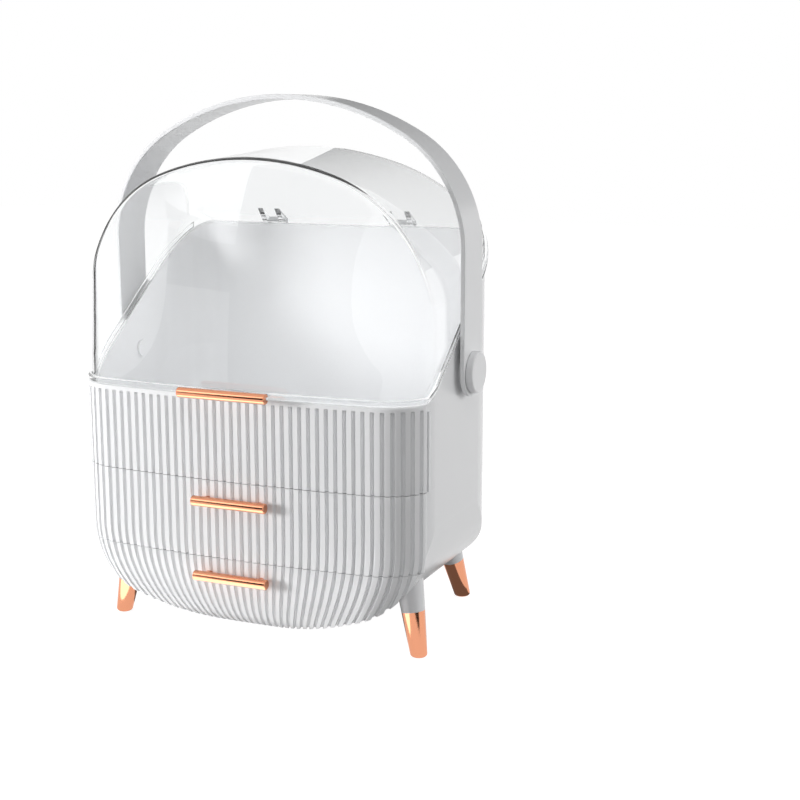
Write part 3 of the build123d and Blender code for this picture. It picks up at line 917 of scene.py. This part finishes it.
@dataclass
class Hood:
    """Clear hood with a rounded crease, a rim flange, a tab and hinge ears. Millimetres."""

    wardrobe: Wardrobe
    half_width: float = 140.0
    rim: float = 191.4
    crown: float = 365.0
    crown_place: float = 39.0
    crown_radius: float = 210.0
    shoulder_radius: float = 105.0
    front_crown: float = 358.5
    side_front: float = -58.0
    corner_start: float = -46.0
    back: float = 87.0
    hinge_height: float = 302.0
    sill_drop: float = 0.4
    fade_height: float = 385.0
    front_depth: float = 41.0
    crown_depth: float = 10.0
    front_corner: float = 36.0
    crown_corner: float = 6.0
    sweep_radius: float = 69.0
    rear_corner: float = 25.0
    wall: float = 2.2
    smooth_angle: float = 35.0
    crease: float = 3.2
    crease_reach: float = 4.0
    crease_band: float = 16.0
    crease_room: float = 22.0
    crease_fade: float = 25.0
    crease_rounds: int = 2
    step: float = 0.5
    level_rounds: int = 4
    fine_front: int = 160
    fine_rear: int = 120
    side_rays: int = 24
    crown_rays: int = 44
    front_steps: int = 44
    front_power: float = 1.5
    crease_steps: int = 20
    side_steps: int = 22
    rear_steps: int = 20
    rear_power: float = 1.8
    flange_reach: float = 2.5
    flange_height: float = 4.5
    flange_inside: float = 0.06
    flange_corner: float = 1.3
    flange_rear: float = 78.0
    flange_side_steps: int = 60
    flange_corner_steps: int = 40
    flange_front_steps: int = 30
    flange_round_steps: int = 6
    tab_low: tuple[float, float, float] = (-30.0, -101.3, 193.0)
    tab_high: tuple[float, float, float] = (30.0, -88.3, 195.6)
    tab_rounding: float = 0.7
    tab_segments: int = 3
    ear_centre: tuple[float, float] = (90.4, 303.0)
    ear_radius: float = 3.0
    ear_start: float = -140.0
    ear_sweep: float = 225.0
    ear_steps: int = 16
    ear_foot: tuple[tuple[float, float], ...] = ((77.9, 313.4), (85.6, 303.1))
    ear_width: float = 4.4
    ear_pair: float = 56.5
    ear_spread: float = 9.75

    @property
    def rise(self) -> float:
        """How much the crown climbs for each millimetre towards the back."""
        return (self.crown - self.front_crown) / (self.crown_place - self.side_front)

    @property
    def sill(self) -> float:
        """How much the side rims climb for each millimetre towards the back."""
        return (self.hinge_height - self.rim + self.sill_drop) / (self.back - self.side_front)

    @property
    def tail(self) -> float:
        """How much the rear face drops for each millimetre towards the back."""
        return (self.crown - self.hinge_height) / (self.back - self.crown_place)

    @property
    def shoulder_x(self) -> float:
        """Centre of the shoulder arc, across."""
        return self.half_width - self.shoulder_radius

    @property
    def shoulder_height(self) -> float:
        """Height of the shoulder arc's centre."""
        span = self.crown_radius - self.shoulder_radius
        return self.crown - self.crown_radius + math.sqrt(span**2 - self.shoulder_x**2)

    @property
    def shoulder_turn(self) -> float:
        """Angle from upright at which the shoulder meets the crown arc."""
        return math.asin(self.shoulder_x / (self.crown_radius - self.shoulder_radius))

    @property
    def half_outline(self) -> float:
        """Length of half of the outline."""
        shoulder = self.shoulder_radius * (QUARTER - self.shoulder_turn)
        return self.shoulder_height - self.rim + shoulder + self.crown_radius * self.shoulder_turn

    @property
    def tip(self) -> Vector:
        """Middle of the rear face's lower edge.

        Returns:
            The point.
        """
        drop = self.hinge_height + self.back * self.tail - self.rim + self.sill * self.side_front
        y = drop / (self.tail + self.sill)
        return Vector((0, y, self.hinge_height + (self.back - y) * self.tail))

    def outline(self, length: float) -> tuple[float, float, float]:
        """Find a point of the right half of the outline seen from the front.

        Args:
            length: Length along it from its foot.

        Returns:
            Place across, height, and how much of the crown's climb applies there.
        """
        straight = self.shoulder_height - self.rim
        if length < straight:
            return self.half_width, self.rim + length, length / straight
        shoulder = self.shoulder_radius * (QUARTER - self.shoulder_turn)
        if length < straight + shoulder:
            turn = QUARTER - (length - straight) / self.shoulder_radius
            x = self.shoulder_x + self.shoulder_radius * math.sin(turn)
            return x, self.shoulder_height + self.shoulder_radius * math.cos(turn), 1.0
        turn = self.shoulder_turn - (length - straight - shoulder) / self.crown_radius
        x = self.crown_radius * math.sin(turn)
        return x, self.crown - self.crown_radius * (1 - math.cos(turn)), 1.0

    def front(self, x: float, height: float) -> float:
        """Find the front face, which leans back and squares up towards the crown.

        Args:
            x: Place across.
            height: The height.

        Returns:
            Its place from front to back.
        """
        climb = max(0.0, (height - self.rim) / (self.fade_height - self.rim))
        depth = self.crown_depth + (self.front_depth - self.crown_depth) * (1 - climb**2)
        corner = self.crown_corner + (self.front_corner - self.crown_corner) * (1 - climb) ** 2
        run = self.half_width - corner
        radius = (depth**2 - corner**2 + run**2) / (2 * (depth - corner))
        if abs(x) < radius * run / (radius - corner):
            return self.corner_start - depth + radius - math.sqrt(radius**2 - x**2)
        return self.corner_start - math.sqrt(max(0.0, corner**2 - (abs(x) - run) ** 2))

    def side(self, y: float) -> float:
        """Find half of the body's width.

        Args:
            y: Place from front to back.

        Returns:
            Half of the width there.
        """
        sweep_x = self.half_width - self.sweep_radius
        centre_y = self.back - self.rear_corner
        span = self.sweep_radius - self.rear_corner
        corner_x = sweep_x + math.sqrt(span**2 - (centre_y - self.crown_place) ** 2)
        joint_y = self.crown_place + (centre_y - self.crown_place) * self.sweep_radius / span
        if y < self.crown_place:
            return self.half_width
        if y < joint_y:
            return sweep_x + math.sqrt(self.sweep_radius**2 - (y - self.crown_place) ** 2)
        return corner_x + math.sqrt(max(0.0, self.rear_corner**2 - (y - centre_y) ** 2))

    def over_sill(self, point: Vector) -> float:
        """Tell how high a point lies over the side rims."""
        return point.z - self.rim - self.sill * max(0.0, point.y - self.side_front)

    def profile(self, length: float) -> tuple[list[Vector], int | None, float]:
        """Draw a fine line over the hood, from the front rim's middle to the back.

        Args:
            length: Place on the outline where the line crosses it.

        Returns:
            The line's points, the number of the rear face's first point, if the line has one, and
            the length of the line to the front crease.
        """
        x, level, share = self.outline(length)
        climb = self.rise * share
        y = self.front(x, level)
        for _ in range(self.level_rounds):
            y = self.front(x, level + climb * (y - self.crown_place))
        height = level + climb * (y - self.crown_place)
        points = []
        for index in range(self.fine_front + 1):
            part = 1 - (1 - index / self.fine_front) ** 2
            spot = (part * x, self.rim + part * (height - self.rim))
            points.append(Vector((spot[0], self.front(*spot), spot[1])))
        crease = running_lengths(points)[-1]
        drop = self.hinge_height + self.back * self.tail - level + self.crown_place * climb
        rear = drop / (self.tail + climb)
        count = max(2, math.ceil(rear - y))
        for index in range(1, count + 1):
            place = y + (rear - y) * index / count
            across = min(x, self.side(place))
            points.append(Vector((across, place, level + climb * (place - self.crown_place))))
        for index, (before, after) in enumerate(zip(points, points[1:])):
            gap = self.over_sill(after)
            if after.y > self.side_front and gap < -TINY:
                old = self.over_sill(before)
                part = min(1.0, max(0.0, old / (old - gap)))
                return [*points[: index + 1], before.lerp(after, part)], None, crease
        first, start, tip = len(points), points[-1], self.tip
        steps = range(1, self.fine_rear + 1)
        points += [start.lerp(tip, index / self.fine_rear) for index in steps]
        return points, first, crease

    def round_creases(
        self, line: list[Vector], total: float, turn: float, rear_crease: float
    ) -> list[Vector]:
        """Round a line's creases by averaging it over short lengths.

        Args:
            line: Points at equal distances.
            total: The line's length.
            turn: Length to the rear crease.
            rear_crease: How wide that crease is rounded.

        Returns:
            The rounded line.
        """
        count = len(line) - 1
        for _ in range(self.crease_rounds):
            sums = [Vector((0, 0, 0))]
            for point in line:
                sums.append(sums[-1] + point)
            smooth = []
            for index in range(count + 1):
                near = abs(total * index / count - turn) < self.crease_reach * self.crease
                reach = rear_crease if near else self.crease
                window = min(round(reach / self.step), index, count - index)
                low, high = index - window, index + window + 1
                smooth.append((sums[high] - sums[low]) / (high - low))
            line = smooth
        return line

    def rounded(self, length: float, first_rear: float) -> tuple[list[Vector], list[Vector]]:
        """Draw a line over the hood with both creases rounded, at the mesh's vertices.

        Args:
            length: Place on the outline where the line crosses it.
            first_rear: Place on the outline where the rear face begins.

        Returns:
            Points of the front and side, and points of the rear face.
        """
        points, first, crease = self.profile(length)
        marks = running_lengths(points)
        total = marks[-1]
        turn = total if first is None else marks[first - 1]
        fade = min(1.0, max(0.0, (length - first_rear) / self.crease_fade))
        line = even_line(points, marks, round(total / self.step))
        line = self.round_creases(line, total, turn, self.crease * fade)
        near = min(crease - self.crease_band / 2, turn - self.crease_room)
        far = near + self.crease_band
        places = [
            near * (1 - (1 - index / self.front_steps) ** self.front_power)
            for index in range(self.front_steps)
        ]
        places += [
            near + (far - near) * index / self.crease_steps for index in range(self.crease_steps)
        ]
        places += [
            far + (turn - far) * index / self.side_steps for index in range(self.side_steps + 1)
        ]
        rear = []
        if first is not None:
            for index in range(self.rear_steps + 1):
                part = (index / self.rear_steps) ** self.rear_power
                rear.append(along(line, (turn + (total - turn) * part) / total))
        return [along(line, place / total) for place in places], rear

    def shell(self) -> bpy.types.Object:
        """Lay the shell's outer skin and give it its wall.

        Returns:
            The shell.
        """
        level = self.tip.z - self.rise * (self.tip.y - self.crown_place)
        turn = math.acos((level - self.shoulder_height) / self.shoulder_radius)
        first_rear = self.shoulder_height - self.rim + self.shoulder_radius * (QUARTER - turn)
        spare = self.half_outline - first_rear
        lengths = [first_rear * index / self.side_rays for index in range(self.side_rays)]
        lengths += [
            first_rear + spare * index / self.crown_rays for index in range(self.crown_rays + 1)
        ]
        lines = [self.rounded(length + HAIR, first_rear) for length in lengths]
        front = lay_grid("hood_shell", both_halves([line for line, _ in lines]))
        rear = lay_grid("hood_rear", both_halves([line for _, line in lines[self.side_rays :]]))
        shell = join([front, rear])
        merge(shell)
        top = max(shell.data.polygons, key=lambda face: face.center.z)
        if top.normal.z < 0:
            with editing(shell):
                bpy.ops.mesh.flip_normals()
        thicken(shell, self.wall)
        return shell

    def flange_route(self) -> list[Vector]:
        """Draw the shell's lower edge, seen from above.

        Returns:
            Its points, from the right rear round the front to the left rear.
        """
        route = []
        for index in range(self.flange_side_steps + 1):
            run = (self.corner_start - self.flange_rear) * index / self.flange_side_steps
            y = self.flange_rear + run
            route.append(Vector((self.side(y), y, 0)))
        for index in range(1, self.flange_corner_steps + 1):
            turn = QUARTER * index / self.flange_corner_steps
            x = self.half_width - self.front_corner * (1 - math.cos(turn))
            route.append(Vector((x, self.front(x, self.rim), 0)))
        start = route[-1].x
        for index in range(1, self.flange_front_steps + 1):
            x = start * (1 - index / self.flange_front_steps)
            route.append(Vector((x, self.front(x, self.rim), 0)))
        return route + mirrored(route[-2::-1])

    def flange_section(self) -> list[tuple[float, float]]:
        """Draw the flange's section, with its two outer edges rounded.

        Returns:
            Its points, as how far out and how far up they lie.
        """
        reach, high, corner = self.flange_reach, self.flange_height, self.flange_corner
        turns = [
            QUARTER * index / self.flange_round_steps
            for index in range(self.flange_round_steps + 1)
        ]
        lower = [
            (reach - corner * (1 - math.sin(turn)), corner * (1 - math.cos(turn)))
            for turn in turns
        ]
        upper = [
            (reach - corner * (1 - math.cos(turn)), high - corner * (1 - math.sin(turn)))
            for turn in turns
        ]
        inner = self.flange_inside
        return [(inner, 0.0), *lower, *upper, (inner, high), (inner, 0.0)]

    def flange(self) -> bpy.types.Object:
        """Sweep the rounded flange along the shell's lower edge.

        Returns:
            The flange.
        """
        route, section, rows = self.flange_route(), self.flange_section(), []
        for spot, before, after in zip(route, route[:1] + route, route[1:] + route[-1:]):
            run = (after - before).normalized()
            level = self.rim + self.sill * max(0.0, spot.y - self.side_front)
            rows.append([])
            for reach, lift in section:
                point = spot + Vector((-run.y, run.x, 0)) * reach
                rows[-1].append(Vector((point.x, point.y, level + lift)))
        piece = lay_grid("hood_flange", rows)
        with editing(piece):
            bpy.ops.mesh.select_all(action="DESELECT")
            bpy.ops.mesh.select_non_manifold()
            bpy.ops.mesh.fill()
            bpy.ops.mesh.select_all(action="SELECT")
            bpy.ops.mesh.normals_make_consistent(inside=False)
        return piece

    def tab(self) -> bpy.types.Object:
        """Shape the tab that carries the pull bar.

        Returns:
            The tab.
        """
        bpy.ops.object.select_all(action="DESELECT")
        bpy.ops.mesh.primitive_cube_add(size=1.0)
        tab = bpy.context.object
        tab.name = "hood_tab"
        for vertex in tab.data.vertices:
            sides = zip(self.tab_low, self.tab_high, vertex.co)
            vertex.co = Vector([low + (high - low) * (0.5 + co) for low, high, co in sides]) * MM
        with editing(tab):
            rounding = self.tab_rounding * MM
            bpy.ops.mesh.bevel(offset=rounding, segments=self.tab_segments, affect="EDGES")
        return tab

    def ear(self, x: float) -> bpy.types.Object:
        """Cut one hinge ear from a plate.

        Args:
            x: Place of its left face.

        Returns:
            The ear.
        """
        outline = []
        for index in range(self.ear_steps + 1):
            turn = math.radians(self.ear_start + self.ear_sweep * index / self.ear_steps)
            y = self.ear_centre[0] + self.ear_radius * math.cos(turn)
            outline.append((y, self.ear_centre[1] + self.ear_radius * math.sin(turn)))
        outline += self.ear_foot
        bpy.ops.object.select_all(action="DESELECT")
        bpy.ops.mesh.primitive_circle_add(vertices=len(outline), fill_type="NGON")
        ear = bpy.context.object
        ear.name = "hood_ear"
        for vertex, (y, z) in zip(ear.data.vertices, outline):
            vertex.co = Vector((x, y, z)) * MM
        with editing(ear):
            move = {"value": (self.ear_width * MM, 0, 0)}
            bpy.ops.mesh.extrude_region_move(TRANSFORM_OT_translate=move)
            bpy.ops.mesh.select_all(action="SELECT")
            bpy.ops.mesh.normals_make_consistent(inside=False)
        return ear

    def build(self) -> bpy.types.Object:
        """Make the hood, dress it and put it in the place of its solid.

        Returns:
            The hood.
        """
        pieces = [self.shell(), self.flange(), self.tab()]
        for middle in (-self.ear_pair, self.ear_pair):
            pieces.append(self.ear(middle - self.ear_spread))
            pieces.append(self.ear(middle + self.ear_spread - self.ear_width))
        hood = join(pieces)
        hood.name = "clear_hood"
        soften(hood, self.smooth_angle)
        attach(hood, "hood")
        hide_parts("hood")
        self.wardrobe.dress(hood, Slot.CLEAR)
        return hood


@dataclass(frozen=True)
class Lamp:
    """A square soft lamp, which lights dull surfaces alone."""

    name: str
    place: tuple[float, float, float]
    size: float
    power: float

    def hang(self, aim: tuple[float, float, float]) -> None:
        """Hang the lamp up.

        Args:
            aim: The point that it faces.
        """
        light = bpy.data.lights.new(self.name, "AREA")
        light.size = self.size
        light.energy = self.power
        body = bpy.data.objects.new(self.name, light)
        bpy.context.scene.collection.objects.link(body)
        body.location = self.place
        body.visible_glossy = False
        body.visible_transmission = False
        heading = Vector(aim) - Vector(self.place)
        body.rotation_euler = heading.to_track_quat("-Z", "Y").to_euler()


@dataclass(frozen=True)
class Flag:
    """A plain screen that only mirrors see, lying where its two heights are the same."""

    name: str
    left: tuple[float, float]
    right: tuple[float, float]
    low: float
    high: float
    shade: float = 0.03
    through: bool = False

    def stand(self) -> None:
        """Set the screen up."""
        bpy.ops.mesh.primitive_plane_add(size=1.0)
        screen = bpy.context.object
        screen.name = self.name
        (left_x, left_y), (right_x, right_y) = self.left, self.right
        if self.high > self.low:
            places = (self.left, self.right) * 2
        else:
            places = ((left_x, left_y), (right_x, left_y), (left_x, right_y), (right_x, right_y))
        for corner, place in zip(screen.data.vertices, places):
            corner.co = (*place, self.low if corner.index < 2 else self.high)
        graph = NodeGraph.for_material(self.name)
        glow = graph.add("ShaderNodeEmission", Color=(*[self.shade] * 3, 1), Strength=1.0)
        paint(screen, graph.show(glow))
        screen.visible_camera = False
        screen.visible_diffuse = False
        screen.visible_transmission = self.through
        screen.visible_shadow = False


@dataclass
class Studio:
    """White studio: floor, world light, lamps, screens and the camera. Metres."""

    camera_place: tuple[float, float, float] = (0.5080, -0.9657, 0.3894)
    camera_right: tuple[float, float, float] = (0.9186, 0.3952, 0.0)
    camera_up: tuple[float, float, float] = (-0.0790, 0.1837, 0.9798)
    lens: float = 64.94
    sensor: float = 36.0
    shift: tuple[float, float] = (0.0005, 0.0084)
    floor_size: float = 8.0
    floor_glow: float = 0.93
    floor_paint: float = 0.3
    floor_bounce: float = 0.5
    ambient: float = 0.27
    inner_gain: float = 1.35
    aim: tuple[float, float, float] = (0.0, 0.0, 0.2)
    lamps: tuple[Lamp, ...] = (
        Lamp("key_lamp", (-1.5, -1.2, 0.35), 0.5, 35.0),
        Lamp("side_lamp", (1.7, 0.6, 0.6), 0.8, 10.5),
        Lamp("fill_lamp", (0.8, -1.0, 1.4), 0.8, 2.5),
        Lamp("top_lamp", (0.1, 0.1, 1.6), 1.0, 2.0),
    )
    flags: tuple[Flag, ...] = (
        Flag("front_flag_left", (-1.10, -1.02), (-0.66, -1.20), 0.38, 0.58),
        Flag("front_flag_right", (-0.66, -1.20), (0.06, -1.50), 0.0, 0.95),
        Flag("back_flag", (-0.6, 1.4), (0.9, 1.4), 0.55, 1.3),
        Flag("left_card", (-1.9, -0.55), (-1.10, -1.02), 0.0, 1.1, 2.2),
        Flag("left_flag", (-1.9, -0.1), (-1.65, 0.75), 0.0, 0.6, through=True),
        Flag("soft_box", (-1.20, -0.98), (-0.66, -1.20), 0.66, 1.4, 2.6),
        Flag("dark_card", (0.24, -0.80), (0.95, -0.10), 0.001, 0.001),
        Flag("bright_card", (-0.32, -0.24), (0.095, -0.075), 0.001, 0.001, 3.2),
        # Painted shade: a dark card under the body, seen only by mirrors, stands in for the floor's
        # shadow there, so the gold's edges mirror it dark.
        Flag("painted_floor_shade", (-0.13, -0.03), (0.13, 0.10), 0.001, 0.001, 0.2),
    )

    def floor(self) -> None:
        """Lay the white floor, which keeps the object's soft shadow."""
        bpy.ops.mesh.primitive_plane_add(size=self.floor_size)
        floor = bpy.context.object
        floor.name = "floor"
        graph = NodeGraph.for_material("white_floor")
        rays = graph.add("ShaderNodeLightPath").outputs
        seen = graph.count("MAXIMUM", rays["Is Camera Ray"], rays["Is Transmission Ray"])
        seen = graph.count("MAXIMUM", seen, rays["Is Glossy Ray"])
        direct = graph.count("SUBTRACT", seen, rays["Diffuse Depth"], clamp=True)
        bounce = graph.add("ShaderNodeBsdfDiffuse", Color=(*[self.floor_bounce] * 3, 1))
        trace = graph.add("ShaderNodeBsdfDiffuse", Color=(*[self.floor_paint] * 3, 1))
        glow = graph.add("ShaderNodeEmission", Strength=self.floor_glow)
        bright = graph.add("ShaderNodeAddShader")
        mix = graph.add("ShaderNodeMixShader")
        graph.join(trace.outputs["BSDF"], bright.inputs[0])
        graph.join(glow.outputs["Emission"], bright.inputs[1])
        graph.join(direct, mix.inputs["Fac"])
        graph.join(bounce.outputs["BSDF"], mix.inputs[1])
        graph.join(bright.outputs["Shader"], mix.inputs[2])
        paint(floor, graph.show(mix))

    def world(self) -> None:
        """Light the room evenly, the hood's inside more, and show a plain white background."""
        world = bpy.data.worlds.new("white_room")
        bpy.context.scene.world = world
        graph = NodeGraph(world)
        rays = graph.add("ShaderNodeLightPath").outputs
        seen = graph.count("MAXIMUM", rays["Is Camera Ray"], rays["Is Transmission Ray"])
        seen = graph.count("MAXIMUM", seen, rays["Is Glossy Ray"])
        scattered = graph.count("MINIMUM", rays["Diffuse Depth"], 1.0)
        gain = graph.count("MULTIPLY_ADD", scattered, self.inner_gain, 1.0)
        share = graph.count("MULTIPLY", seen, gain)
        strength = graph.count("MULTIPLY_ADD", share, 1.0 - self.ambient, self.ambient)
        background = graph.add("ShaderNodeBackground", Color=(1, 1, 1, 1))
        graph.join(strength, background.inputs["Strength"])
        graph.show(background)

    def camera(self) -> None:
        """Set the camera up where the photograph was taken from."""
        data = bpy.data.cameras.new("camera")
        data.lens = self.lens
        data.sensor_width = self.sensor
        data.shift_x, data.shift_y = self.shift
        camera = bpy.data.objects.new("camera", data)
        bpy.context.scene.collection.objects.link(camera)
        right, up = Vector(self.camera_right).normalized(), Vector(self.camera_up).normalized()
        turn = Matrix((right, up, right.cross(up))).transposed().to_4x4()
        camera.matrix_world = Matrix.Translation(self.camera_place) @ turn
        bpy.context.scene.camera = camera

    def build(self) -> None:
        """Set the whole studio up."""
        bpy.context.scene.view_settings.view_transform = "Standard"
        self.floor()
        self.world()
        for lamp in self.lamps:
            lamp.hang(self.aim)
        for flag in self.flags:
            flag.stand()
        self.camera()
        LOG.info("studio set up")


def main() -> None:
    """Load the frame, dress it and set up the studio."""
    logging.basicConfig(level=logging.INFO, format="%(name)s: %(message)s")
    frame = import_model()
    bpy.ops.object.select_all(action="DESELECT")
    wardrobe = Wardrobe()
    pieces = wardrobe.dress_packed(frame)
    pieces += FlutedSkins(wardrobe).build()
    pieces.append(Hood(wardrobe).build())
    for piece in pieces:
        finish = piece.active_material.name
        LOG.info("%s: %d faces in %s", piece.name, len(piece.data.polygons), finish)
    Studio().build()


if __name__ == "__main__":
    main()
